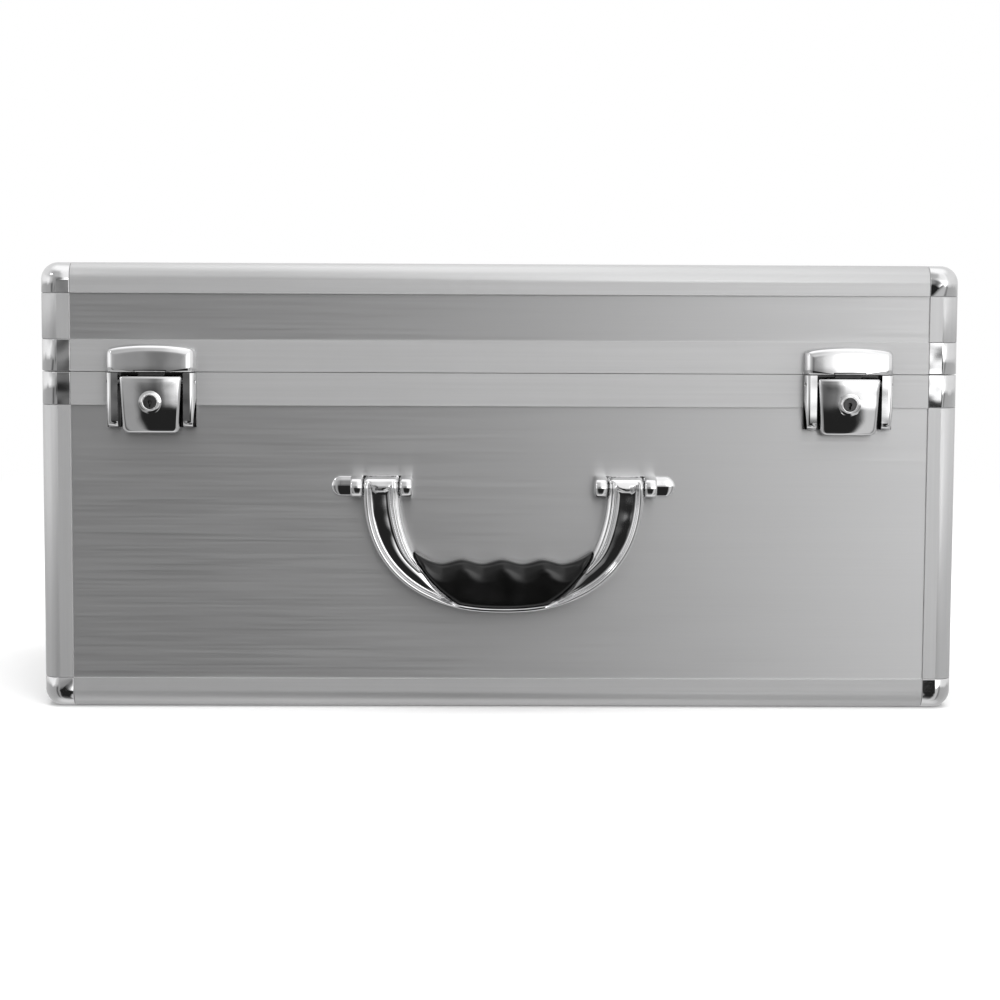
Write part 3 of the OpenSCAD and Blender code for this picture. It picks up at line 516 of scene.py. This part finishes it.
def build_grip():
    """Grip that fills the bow's inner curve, with finger scallops and pointed ends."""
    half_x, half_y = (grip_high.x - grip_low.x) / 2, (grip_high.y - grip_low.y) / 2
    end = 1.5 * FINGER_PITCH
    rings, steps = [], 96
    for i in range(steps + 1):
        even, crowded = 2 * i / steps - 1, -math.cos(math.pi * i / steps)
        x = half_x * (0.65 * even + 0.35 * crowded)
        if abs(x) <= end:
            wave = math.cos(2 * math.pi * (abs(x) - FINGER_PITCH / 2) / FINGER_PITCH)
            tip, flute = 0.0, 0.6 * (wave + 1)
        else:
            wave = 1.0
            tip = TIP_RISE * ((abs(x) - end) / (half_x - end)) ** 1.6
            flute = 1.2 * (1 - smooth_step(abs(x), end, half_x))
        low = 0.1 - inner_drop(x)
        top = max(tip - FINGER_DROP - FINGER_RISE * wave, low + 0.8)
        taper = math.sqrt(max(0.02, 1 - (max(0.0, abs(x) - half_x + 7.0) / 7.2) ** 2))
        high_r, low_r = min(5.5, 0.48 * (top - low)), min(2.6, 0.48 * (top - low))
        ring = []
        for y, z in round_section(low, top, half_y, low_r, high_r, 7):
            waist = flute * smooth_step(z, top - 10.0, top - 2.5)
            ring.append(Vector((HUB.x + x, HUB.y + y * taper * (half_y - waist) / half_y, HUB.z + z)))
        rings.append(ring)
    new_piece("finger_grip", *loft(rings), "grip", "grip_rubber", "handle_grip", sharp=70.0)


# ---------------------------------------------------------------- latches


def cap_outline(width, height, r):
    """Front outline of a cap from its right foot over the arched top to its left foot, as (x, z)."""
    rise = 2.2
    big = (width ** 2 / 4 + rise ** 2) / (2 * rise)
    span = math.asin((width / 2 - r) / big)
    right = [(width / 2, 0)] + [(width / 2, (height - rise - r) * k / 4) for k in range(1, 4)]
    for k in range(9):
        a = math.radians(84 * k / 8)
        right.append((width / 2 - r + r * math.cos(a), height - rise - r + 0.3 + r * math.sin(a)))
    crown = [(big * math.sin(span * (1 - 2 * k / 24)), height - big + big * math.cos(span * (1 - 2 * k / 24)))
             for k in range(1, 24)]
    return right + crown + [(-x, z) for x, z in reversed(right)]


def rounded_outline(points, arc_steps=8, edge_steps=10):
    """A closed outline through (x, z, corner radius) points, with the same number of points at any size."""
    outline, ends = [], []
    for i, (x, z, r) in enumerate(points):
        p = Vector((x, z))
        a = (Vector(points[i - 1][:2]) - p).normalized()
        b = (Vector(points[(i + 1) % len(points)][:2]) - p).normalized()
        half = a.angle(b) / 2
        centre = p + (a + b).normalized() * (r / math.sin(half))
        start, end = p + a * (r / math.tan(half)) - centre, p + b * (r / math.tan(half)) - centre
        ends.append([centre + start.slerp(end, k / arc_steps) * r for k in range(arc_steps + 1)])
    for i, arc in enumerate(ends):
        outline += arc
        after = ends[(i + 1) % len(ends)][0]
        outline += [arc[-1].lerp(after, k / edge_steps) for k in range(1, edge_steps)]
    return outline


def pressed(piece, bodies):
    """Gives an open sheet its gauge inwards for good, then adds the closed bodies welded to its back."""
    solid = piece.modifiers.new("gauge", "SOLIDIFY")
    solid.thickness, solid.offset, solid.use_even_offset = GAUGE * MM, -1.0, True
    seen = piece.evaluated_get(bpy.context.evaluated_depsgraph_get())
    open_mesh, piece.data = piece.data, bpy.data.meshes.new_from_object(seen)
    piece.modifiers.clear()
    bpy.data.meshes.remove(open_mesh)
    extra = clean_mesh("welded", *join(*bodies), 38.0)
    bm = bmesh.new()
    bm.from_mesh(piece.data)
    bm.from_mesh(extra)
    bm.to_mesh(piece.data)
    bm.free()
    bpy.data.meshes.remove(extra)


FRONT = corners("base_closure_rails")[0].y
LATCH_X = PIVOT["right_latch_lift"].x / MM
CAP_R = 4.2
LEVER_R = 1.8
GAUGE = 1.3  # thickness of the pressed plates
BARREL_R = 5.5


def rolled_edge(radius, steps):
    """(inset, set back) pairs round a quarter roll, from the side of a plate to its front."""
    turns = [math.pi / 2 * k / steps for k in range(steps + 1)]
    return [(radius * (1 - math.cos(a)), radius * (1 - math.sin(a))) for a in turns]


def build_caps():
    """Two domed covers, open at the back and below, with screw bosses inside."""
    low, high = corners("latch_caps")
    width, height, depth = 2 * (high.x - LATCH_X), high.z - low.z, FRONT - low.y
    screw_z = sum(corner.z for corner in corners("cap_screws")) / 2

    def front(x, z):
        """How far the front stands off the rail: most in the middle of its lower edge."""
        return depth - 1.1 * (2 * x / width) ** 2 - 1.0 * (z / height) ** 2

    shells, bosses = [], []
    for side in (-1, 1):
        middle = side * LATCH_X
        rings = [[Vector((middle + x, FRONT, low.z + z)) for x, z in cap_outline(width, height, 3.6)]]
        for inset, back in rolled_edge(CAP_R, 8):
            outline = cap_outline(width - 2 * inset, height - inset, max(3.6 - inset, 0.9))
            rings.append([Vector((middle + x, FRONT - front(x, z) + back, low.z + z)) for x, z in outline])
        edge = rings[-1]
        for k in range(1, 11):
            ring = []
            for p in edge:
                x, z = (p.x - middle) * (1 - 0.62 * k / 10), (p.z - low.z) * (1 - k / 10)
                ring.append(Vector((middle + x, FRONT - front(x, z), low.z + z)))
            rings.append(ring)
        n = len(edge)
        shells.append(([p for ring in rings for p in ring],
                       [(a * n + i, a * n + i + 1, (a + 1) * n + i + 1, (a + 1) * n + i)
                        for a in range(len(rings) - 1) for i in range(n - 1)]))
        for screw_x in (-16.0, 16.0):
            bosses.append(lathe([(0, 6.0), (1.52, 6.0), (1.52, 0.1), (3.0, 0.1), (3.0, 8.2), (0, 8.2)],
                                (middle + screw_x, FRONT, screw_z), (0, -1, 0), 24))
    piece = new_piece("latch_cap_covers", *join(*shells), "chrome", "chrome_plate", "latch_caps", sharp=75.0)
    pressed(piece, bosses)


def build_lever(name):
    """Pressed lever plate with the hole for the lock, the lug behind it and an eye at each end of the pin."""
    low, high = corners(name + "_latch_lever")
    pivot = PIVOT[name + "_latch_lift"] / MM
    lock = PIVOT[name + "_key_turn"] / MM
    depth = FRONT - low.y
    half_top = (high.x - low.x) / 2
    half_bottom = half_top - 2.0

    def front(x, z):
        """How far the front stands off the rail: it is crowned both ways and falls off at its lower lip."""
        lip = max(0.0, (low.z + 9.0 - z) / 9.0)
        crest = max(0.0, (z - high.z + 5.0) / 5.0)
        crown = min(0.0, z - lock.z) / 17.0
        return depth - 1.4 * (x / half_top) ** 2 - 0.9 * crown ** 2 - 1.6 * lip ** 2 - 0.2 * crest ** 2

    def outline(inset):
        top, bottom = max(1.0, 1.2 - inset), max(1.5, 4.0 - inset)
        return rounded_outline([(half_top - inset, high.z - inset, top),
                                (inset - half_top, high.z - inset, top),
                                (inset - half_bottom, low.z + inset, bottom),
                                (half_bottom - inset, low.z + inset, bottom)])

    def ring_at(places, back=lambda z: 0.0):
        return [Vector((pivot.x + p.x, FRONT - front(p.x, p.y) + back(p.y), p.y)) for p in places]

    # The skirt is shallow along the top edge, which swings in past the strike tongue
    rings = [ring_at(outline(0), lambda z: 3.4 - 1.5 * smooth_step(z, pivot.z, high.z))]
    for inset, back in rolled_edge(LEVER_R, 6):
        rings.append(ring_at(outline(inset), lambda z, back=back: back))
    edge, hole = outline(LEVER_R), Vector((0.0, lock.z))
    for k in range(1, 13):
        rings.append(ring_at([p.lerp(hole + (p - hole).normalized() * (BARREL_R + 0.05), k / 12)
                              for p in edge]))
    sheet = ([p for ring in rings for p in ring], bridge(rings))
    bodies = [padded(Vector((pivot.x - 4.5, FRONT - depth + 1.2, pivot.z - 2.6)),
                     Vector((pivot.x + 4.5, FRONT - 3.2, pivot.z - 0.2)), 2, 1, flat, 20.0, 0.4, True)]
    for side in (-1, 1):
        inside, outside = half_top - 2.7, half_top - GAUGE
        rings = []
        for x, bore in ((inside, None), (inside, 1.55), (outside, 1.55), (outside, None)):
            ring = []
            for k in range(36):
                a = 2 * math.pi * k / 36
                reach = bore or min(2.9, 1.9 / max(0.01, math.cos(a)))
                ring.append(Vector((pivot.x + side * x, pivot.y - reach * math.cos(a),
                                    pivot.z + reach * math.sin(a))))
            rings.append(ring)
        bodies.append(tube(rings))
    piece = new_piece(name + "_latch_plate", *sheet, "chrome", "chrome_plate", name + "_latch_lever",
                      sharp=75.0)
    pressed(piece, bodies)


def build_collar(name):
    """Lock barrel with a flat collar and a narrow rounded lip round the plug."""
    low, high = corners(name + "_lock_barrel")
    lock = PIVOT[name + "_key_turn"] / MM
    deep, out = FRONT - high.y, FRONT - low.y
    lip = [(BARREL_R, 1.25), (6.35, 1.25), (6.5, 1.1), (6.45, 0.9), (6.2, 0.8), (5.1, 0.8), (4.9, 0.65),
           (4.75, 0.25), (4.5, 0.02), (4.2, 0.02), (3.95, 0.2), (3.75, 0.55), (3.65, 0.9)]
    profile = [(3.65, deep), (BARREL_R, deep)] + [(r, out - down) for r, down in lip]
    new_piece(name + "_lock_collar", *lathe(profile, (lock.x, FRONT, lock.z), (0, -1, 0), 64), "chrome",
              "chrome_plate", name + "_lock_barrel", sharp=50.0)


def ear_outline(pull):
    """Section (y, z) of an ear round the pin, drawn in by pull: round in front, square at the panel."""
    reach, back = EAR_R - pull, PANEL - HUB.y
    ring = [(-reach * math.sin(a), reach * math.cos(a)) for a in (math.pi * k / 20 for k in range(21))]
    ring += [(back * k / 4, -reach) for k in range(1, 5)]
    return ring + [(back * k / 4, reach) for k in range(4, 0, -1)]


def build_brackets():
    """Two brackets, each with two barrel ears, a plate behind the arm and a domed end tab."""
    tab_r = 5.75
    tab_x = corners("handle_brackets")[1].x - HUB.x - tab_r
    ear_end = tab_x - tab_r
    ear_start = INNER_A - 0.6 - EAR_W
    ear_sections = [(0, 1.0), (0.15, 0.55), (0.5, 0.2), (1.1, 0.0)]
    ear_sections += [(EAR_W - x, pull) for x, pull in reversed(ear_sections)]
    dome = [(0, 0), (0, 1.0)] + [(pull, 1.0 + 1.5 * math.sqrt(1 - (1 - pull / tab_r) ** 2))
                                 for pull in (0.15, 0.5, 1.0, 1.7, 2.5, 3.5, 4.6, 5.5)]
    shells = []
    for side in (-1, 1):
        def at(x, y, z):
            return Vector((HUB.x + side * x, y, HUB.z + z))

        for start in (ear_start, ear_end - EAR_W):
            shells.append(loft([[at(start + x, HUB.y + y, z) for y, z in ear_outline(pull)]
                                for x, pull in ear_sections]))
        plate = rounded_outline([(ear_start + 0.3, -6.1, 0.8), (ear_end, -6.1, 0.8), (ear_end, 6.1, 0.8),
                                 (ear_start + 0.3, 6.1, 0.8)], 4, 6)
        shells.append(loft([[at(p.x, PANEL - d, p.y) for p in plate] for d in (0.0, 2.0)]))
        rings = []
        for pull, d in dome:
            r = tab_r - pull
            turns = [math.radians(-90 + 180 * k / 20) for k in range(21)]
            ring = [(tab_x + r * math.cos(a), r * math.sin(a)) for a in turns]
            ring += [(tab_x - (tab_r + 0.6) * k / 4, r) for k in range(1, 5)]
            ring += [(tab_x - (tab_r + 0.6) * k / 4, -r) for k in range(4, 0, -1)]
            rings.append([at(x, PANEL - d, z) for x, z in ring])
        shells.append(loft(rings))
    piece = new_piece("handle_bracket_pair", *join(*shells), "chrome", "chrome_plate", "handle_brackets",
                      sharp=55.0)
    for side in (-1, 1):
        start = (HUB.x + side * (INNER_A - 9), HUB.y, HUB.z)
        carve(piece, *bar(start, (side, 0, 0), PIN_R + 0.02, 42.0))


# ---------------------------------------------------------------- foam, linings and feet

LINING = 2.4  # thickness of the wall lining
CRATE_WAVE = 48  # wavelength of the foam along each side, before whole waves are fitted to the lid
CRATE_DEPTH = 16.5  # from a foam peak to the deepest hollow
DIVIDER = 4  # thickness of a divider board
BAY_X = (-92.0, 88.0)  # left faces of the two inner divider boards
FOOT_R = 9


def padded(low, high, thin, side, relief, step, edge=1.2, both=False):
    """A closed pad that fills a box: rounded towards its rim, with relief(a, b) taken off its visible face.

    thin is the axis of its thickness and side the direction its face looks; both gives it two faces."""
    u, v = [k for k in range(3) if k != thin]

    def stops(k):
        span = high[k] - low[k]
        rim = [0.0, 0.06 * edge, 0.3 * edge, 0.6 * edge, edge]
        count = max(1, round((span - 2 * edge) / step))
        middle = [edge + (span - 2 * edge) * j / count for j in range(1, count)]
        return rim + middle + [span - r for r in reversed(rim)]

    def drop(d):
        return edge * (1 - math.sqrt(1 - (1 - min(1.0, d / edge)) ** 2))

    us, vs = stops(u), stops(v)
    front, back = [], []
    for a in us:
        for b in vs:
            fall = min(edge, drop(min(a, us[-1] - a)) + drop(min(b, vs[-1] - b))) + relief(a, b)
            for points, way, depth in ((front, side, fall), (back, -side, fall if both else 0.0)):
                p = Vector()
                p[u], p[v] = low[u] + a, low[v] + b
                p[thin] = (high if way > 0 else low)[thin] - way * depth
                points.append(p)
    n, m = len(vs), len(us)
    faces = []
    for a in range(m - 1):
        for b in range(n - 1):
            i = a * n + b
            faces.append((i, i + 1, i + n + 1, i + n))
            faces.append(tuple(m * n + j for j in (i + n, i + n + 1, i + 1, i)))
    border = list(range(n)) + [a * n + n - 1 for a in range(1, m)]
    border += [(m - 1) * n + b for b in range(n - 2, -1, -1)] + [a * n for a in range(m - 2, 0, -1)]
    faces += [(i, j, j + m * n, i + m * n) for i, j in zip(border, border[1:] + border[:1])]
    return front + back, faces


def flat(a, b):
    return 0.0


def wavy(a, b):
    """Slight unevenness of a glued lining."""
    return 0.12 * (2 + math.sin(a / 23 + 1.3 * math.sin(b / 31)) + math.sin(b / 17 + 0.9 * math.sin(a / 41)))


def wall_pads(name, thickness, *stands_for):
    """Four lining sheets that stand against the walls."""
    low, high = corners(stands_for[0])
    reach = thickness + 0.1
    pads = []
    for side in (-1, 1):
        x, y = (low.x, low.y) if side < 0 else (high.x - thickness, high.y - thickness)
        pads.append(padded(Vector((low.x, y, low.z)), Vector((high.x, y + thickness, high.z)),
                           1, -side, wavy, 9.0))
        pads.append(padded(Vector((x, low.y + reach, low.z)), Vector((x + thickness, high.y - reach, high.z)),
                           0, -side, wavy, 9.0))
    new_piece(name, *join(*pads), "lining", "black_lining", *stands_for, sharp=80.0)


def egg_crate(span_x, span_y, depth):
    """Relief of convoluted foam: rounded peaks and hollows in a chequer pattern."""
    kx, ky = (2 * math.pi * round(span / CRATE_WAVE) / span for span in (span_x, span_y))

    def relief(a, b):
        wave = math.sin(kx * a) * math.sin(ky * b)
        return depth * (0.5 - 0.5 * math.copysign(abs(wave) ** 0.85, wave))
    return relief


def build_soft_parts():
    for name, node in (("base_lining_sheets", "base_wall_lining"), ("lid_lining_sheets", "lid_lining")):
        wall_pads(name, LINING, node)
    low, high = corners("floor_pad")
    cushion = padded(low, high, 2, 1, lambda a, b: 3 * wavy(a, b), 9.0, 2.2)
    new_piece("floor_cushion", *cushion, "lining", "black_lining", "floor_pad", sharp=80.0)
    low, high = corners("lid_foam")
    crate = padded(low, high, 2, -1, egg_crate(high.x - low.x, high.y - low.y, CRATE_DEPTH), 3.0, 2.5)
    new_piece("egg_crate_foam", *crate, "foam", "black_foam", "lid_foam", sharp=80.0)
    low, high = corners("compartment_dividers")
    boards = [padded(Vector((x, low.y, low.z)), Vector((x + DIVIDER, high.y, high.z)),
                     0, 1, flat, 12.0, 1.4, True)
              for x in (low.x, *BAY_X, high.x - DIVIDER)]
    new_piece("divider_boards", *join(*boards), "lining", "black_lining", "compartment_dividers", sharp=80.0)
    low, high = corners("back_feet")
    profile = [(2.1, 0), (8.7, 0), (FOOT_R, 0.4), (FOOT_R, 4.6), (8.4, 5.3), (8.4, 6.5),
               (FOOT_R, 7.2), (FOOT_R, 14.0), (8.7, 15.3), (7.9, 16.4), (6.8, 17), (5.4, 17),
               (4.8, 16.6), (4.5, 15.8), (4.5, 4.5), (4.1, 4), (2.1, 4)]
    feet = [lathe(profile, (x, low.y, z), (0, 1, 0), 48)
            for x in (low.x + FOOT_R, high.x - FOOT_R) for z in (low.z + FOOT_R, high.z - FOOT_R)]
    new_piece("rubber_feet", *join(*feet), "foot", "foot_rubber", "back_feet", sharp=40.0)


build_bow()
build_grip()
build_caps()
build_brackets()
for latch in ("left", "right"):
    build_lever(latch)
    build_collar(latch)
build_soft_parts()


# ---------------------------------------------------------------- light, floor and camera


def ramp(tree, factor, span, stops):
    """A smooth curve through (degrees, value) stops; the factor runs from -span / 2 to span / 2 degrees."""
    made = tree.nodes.new("ShaderNodeValToRGB")
    made.color_ramp.interpolation = "EASE"
    elements = made.color_ramp.elements
    while len(elements) > 1:
        elements.remove(elements[-1])
    for i, (degrees, value) in enumerate(stops):
        element = elements[0] if i == 0 else elements.new(0.5 + degrees / span)
        element.position = 0.5 + degrees / span
        element.color = (value, value, value, 1)
    tree.links.new(factor, made.inputs[0])
    return made.outputs[0]


def studio_world():
    """Soft surroundings by direction: dim on the left of the camera, bright on its right and above."""
    world = bpy.data.worlds.new("studio")
    bpy.context.scene.world = world
    world.use_nodes = True
    tree = world.node_tree
    tree.nodes.clear()
    link = tree.links.new

    def math_node(operation, a, b=0.0):
        made = tree.nodes.new("ShaderNodeMath")
        made.operation = operation
        for socket, value in zip(made.inputs, (a, b)):
            if isinstance(value, bpy.types.NodeSocket):
                link(value, socket)
            else:
                socket.default_value = value
        return made.outputs[0]

    direction = tree.nodes.new("ShaderNodeTexCoord").outputs["Generated"]
    split = tree.nodes.new("ShaderNodeSeparateXYZ")
    link(direction, split.inputs[0])
    x, y, z = split.outputs
    turn = math_node("ARCTAN2", x, math_node("MULTIPLY", y, -1.0))
    around = math_node("ADD", math_node("DIVIDE", turn, 2 * math.pi), 0.5)
    rise = math_node("ADD", math_node("DIVIDE", math_node("ARCSINE", z), math.pi), 0.5)

    def blend(factor, first, second):
        made = tree.nodes.new("ShaderNodeMix")
        made.data_type = "RGBA"
        for name, value in (("Factor", factor), ("A", first), ("B", second)):
            if isinstance(value, bpy.types.NodeSocket):
                link(value, made.inputs[name])
            else:
                made.inputs[name].default_value = value
        return made.outputs["Result"]

    # By azimuth: 0 is towards the camera of the front view, and positive to its right
    walls = ramp(tree, around, 360, [(-170, 0.8), (-95, 1.1), (-60, 1.2), (-40, 0.68), (-22, 0.43),
                                     (-11, 0.32), (-5, 0.2), (0, 0.35), (4, 1.05), (8, 2.1), (13, 2.8),
                                     (24, 2.6), (34, 1.5), (45, 1.05), (60, 0.95), (165, 0.8)])
    over = ramp(tree, around, 360, [(-170, 0.9), (-95, 0.9), (-30, 0.52), (-8, 0.6), (8, 1.15), (30, 1.25),
                                    (45, 1.0), (165, 0.9)])
    under = ramp(tree, around, 360, [(-170, 0.6), (-48, 0.45), (-30, 0.12), (-23, 0.36), (-17, 0.36),
                                     (-12, 0.02), (13, 0.02), (19, 0.65), (26, 0.65), (34, 0.25), (48, 0.5),
                                     (165, 0.6)])
    # By elevation
    above = ramp(tree, rise, 180, [(-6, 0.0), (-2, 0.6), (1, 1.0)])
    sky = ramp(tree, rise, 180, [(8, 0.0), (25, 1.0)])
    zenith = ramp(tree, rise, 180, [(50, 0.0), (80, 1.0)])
    ground = ramp(tree, rise, 180, [(-82, 1.0), (-70, 0.6), (-58, 0.1), (-45, 0.0)])
    mix = blend(above, under, walls)
    mix = blend(sky, mix, over)
    mix = blend(zenith, mix, (1.35, 1.35, 1.35, 1))
    mix = blend(ground, mix, (0.85, 0.85, 0.85, 1))
    lit = tree.nodes.new("ShaderNodeBackground")
    link(mix, lit.inputs["Color"])
    plain = tree.nodes.new("ShaderNodeBackground")
    plain.inputs["Color"].default_value = (1, 1, 1, 1)
    seen = tree.nodes.new("ShaderNodeLightPath").outputs["Is Camera Ray"]
    choose = tree.nodes.new("ShaderNodeMixShader")
    link(seen, choose.inputs[0])
    link(lit.outputs[0], choose.inputs[1])
    link(plain.outputs[0], choose.inputs[2])
    out = tree.nodes.new("ShaderNodeOutputWorld")
    link(choose.outputs[0], out.inputs[0])


def area_light(name, place, target, size, power, mirrored=True):
    data = bpy.data.lights.new(name, "AREA")
    data.shape = "RECTANGLE"
    data.size, data.size_y = size
    data.energy = power
    lamp = bpy.data.objects.new(name, data)
    bpy.context.scene.collection.objects.link(lamp)
    lamp.location = place
    lamp.rotation_mode = "QUATERNION"
    lamp.rotation_quaternion = (Vector(target) - Vector(place)).to_track_quat("-Z", "Y")
    lamp.visible_glossy = mirrored


def pale_floor():
    """A plain floor that turns into the white backdrop; mirrors look through it at the studio's light."""
    bm = bmesh.new()
    bmesh.ops.create_grid(bm, x_segments=8, y_segments=8, size=4.0)
    mesh = bpy.data.meshes.new("floor")
    bm.to_mesh(mesh)
    bm.free()
    floor = bpy.data.objects.new("floor", mesh)
    bpy.context.scene.collection.objects.link(floor)
    floor.visible_glossy = False
    p = Paint("pale_floor")
    grain = p.noise((1, 1, 1), 30.0, 3.0)
    p.surface(Base_Color=(0.86, 0.86, 0.86, 1), Roughness=0.9, Normal=p.bump(grain, 0.0001))
    p.fill(p.bsdf, {"Specular IOR Level": 0.0})
    away = p.add("VectorMath", {0: p.place}, operation="LENGTH").outputs["Value"]
    seen = p.times(p.spread(away, 0.0, 1.0, 0.55, 1.5), p.add("LightPath").outputs["Is Camera Ray"])
    plain = p.add("Emission", {"Color": (1, 1, 1, 1)}).outputs[0]
    both = p.add("MixShader", {0: seen, 1: p.bsdf.outputs[0], 2: plain}).outputs[0]
    p.tree.links.new(both, p.tree.nodes["Material Output"].inputs["Surface"])
    mesh.materials.append(p.material)


def photo_camera(case_low, case_high):
    """Camera level with the case, slightly above and aimed at the middle of its front."""
    distance, pitch, yaw, roll = 1.4, math.radians(5.3), math.radians(-0.84), math.radians(0.27)
    middle = Vector((0, case_low.y + 15.7 * MM, (case_low.z + case_high.z) / 2))
    back = Vector((math.sin(yaw) * math.cos(pitch), -math.cos(yaw) * math.cos(pitch), math.sin(pitch)))
    data = bpy.data.cameras.new("camera")
    data.sensor_width = 36.0
    data.lens = 87.07
    data.shift_y = -0.012
    data.clip_start, data.clip_end = 0.05, 50.0
    camera = bpy.data.objects.new("camera", data)
    bpy.context.scene.collection.objects.link(camera)
    camera.location = middle + back * distance
    camera.rotation_mode = "QUATERNION"
    turn = Matrix.Rotation(roll, 3, "Z").to_quaternion()
    camera.rotation_quaternion = (-back).to_track_quat("-Z", "Y") @ turn
    bpy.context.scene.camera = camera


studio_world()
pale_floor()
photo_camera(*cad_box)
area_light("key", (0.5, -1.9, 1.7), (0.1, -0.1, 0.12), (1.6, 1.2), 22.0, mirrored=False)
area_light("overhead", (0.0, -0.1, 1.9), (0, 0, 0), (1.8, 1.4), 20.0, mirrored=False)
area_light("left_card", (-0.95, -0.75, 0.85), (-0.2, -0.12, 0.2), (0.3, 0.16), 0.5)
scene = bpy.context.scene
scene.view_settings.view_transform = "Standard"
